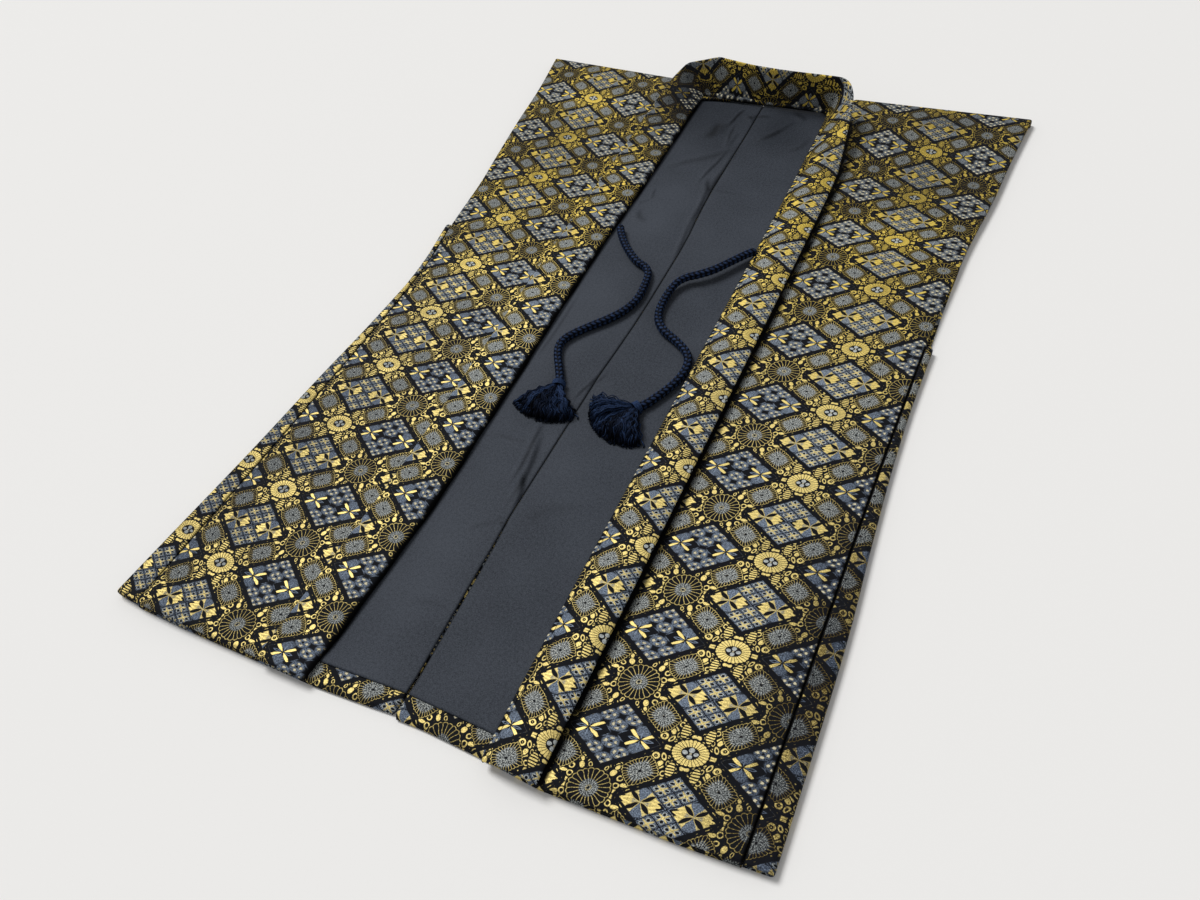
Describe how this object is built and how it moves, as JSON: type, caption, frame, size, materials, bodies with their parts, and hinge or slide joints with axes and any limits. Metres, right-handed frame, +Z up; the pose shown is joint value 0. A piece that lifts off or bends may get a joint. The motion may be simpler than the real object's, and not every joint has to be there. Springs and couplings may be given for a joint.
{
  "type": "sleeveless haori jacket",
  "caption": "Sleeveless haori jacket in patterned brocade, laid open and flat, with a plain lining, a turned-out collar band and braided ties that end in tassels.",
  "frame": {"origin": "middle of the laid garment's outline, on the surface it lies on", "axes": "+X across the garment towards its left front, +Y from the hem up to the shoulders, +Z up from the surface"},
  "size_m": [0.5874, 0.8634, 0.0512],
  "materials": {
    "brocade": "figured silk brocade, gold and blue-grey wefts on near-black navy, soft metallic sheen",
    "lining": "plain slate-grey satin-backed lining, low sheen",
    "braid": "matt navy braided cord and thread"
  },
  "bodies": {
    "root": {"back_left": "brocade", "back_right": "brocade", "lining_left": "lining", "lining_right": "lining", "front_left": "brocade", "front_right": "brocade", "gusset_left": "brocade", "gusset_right": "brocade", "collar_left": "brocade", "collar_neck": "brocade", "collar_right": "brocade", "cord_left": "braid", "cord_right": "braid", "tassel_left": "braid", "tassel_right": "braid"}
  },
  "joints": []
}
